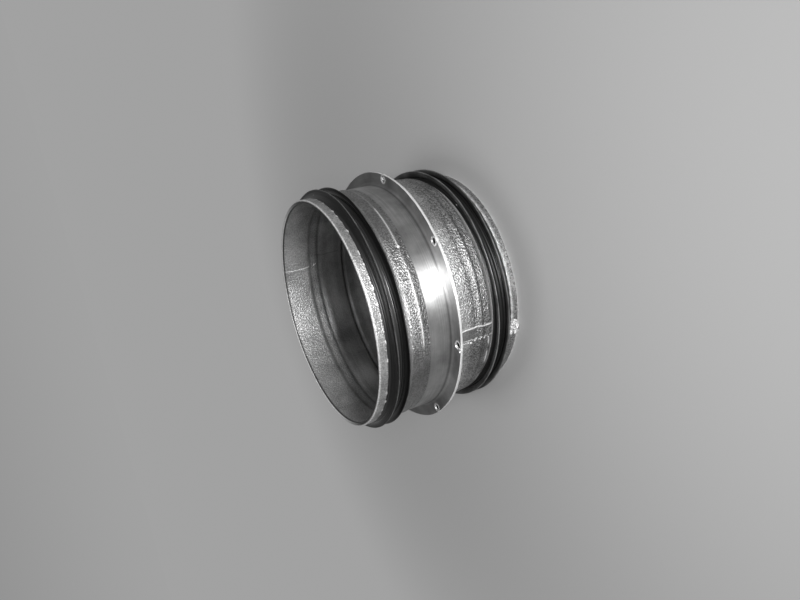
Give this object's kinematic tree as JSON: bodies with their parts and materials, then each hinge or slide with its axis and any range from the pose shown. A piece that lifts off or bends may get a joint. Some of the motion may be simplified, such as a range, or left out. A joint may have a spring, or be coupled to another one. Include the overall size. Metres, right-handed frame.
{
  "type": "push-fit duct connector",
  "caption": "Galvanised sheet coupling for round duct: back-to-back flanged sleeves with a mid stop flange, lap seams and a black double-lip rubber seal gripped in each hemmed end.",
  "frame": {"origin": "centre of the lower free end, on the plane that the connector stands on", "axes": "+Z along the airway axis, from the lower free end to the upper one; the upper sleeve's lap seam is at -27.5 degrees about +Z from +X"},
  "size_m": [0.138, 0.138, 0.0808],
  "materials": {
    "galvanised_sheet": "satin zinc with fine grain, burnished beside the flange",
    "seal_rubber": "satin black"
  },
  "bodies": {
    "root": {"upper_sleeve": "galvanised_sheet", "lower_sleeve": "galvanised_sheet", "upper_seal": "seal_rubber", "lower_seal": "seal_rubber"}
  },
  "joints": []
}
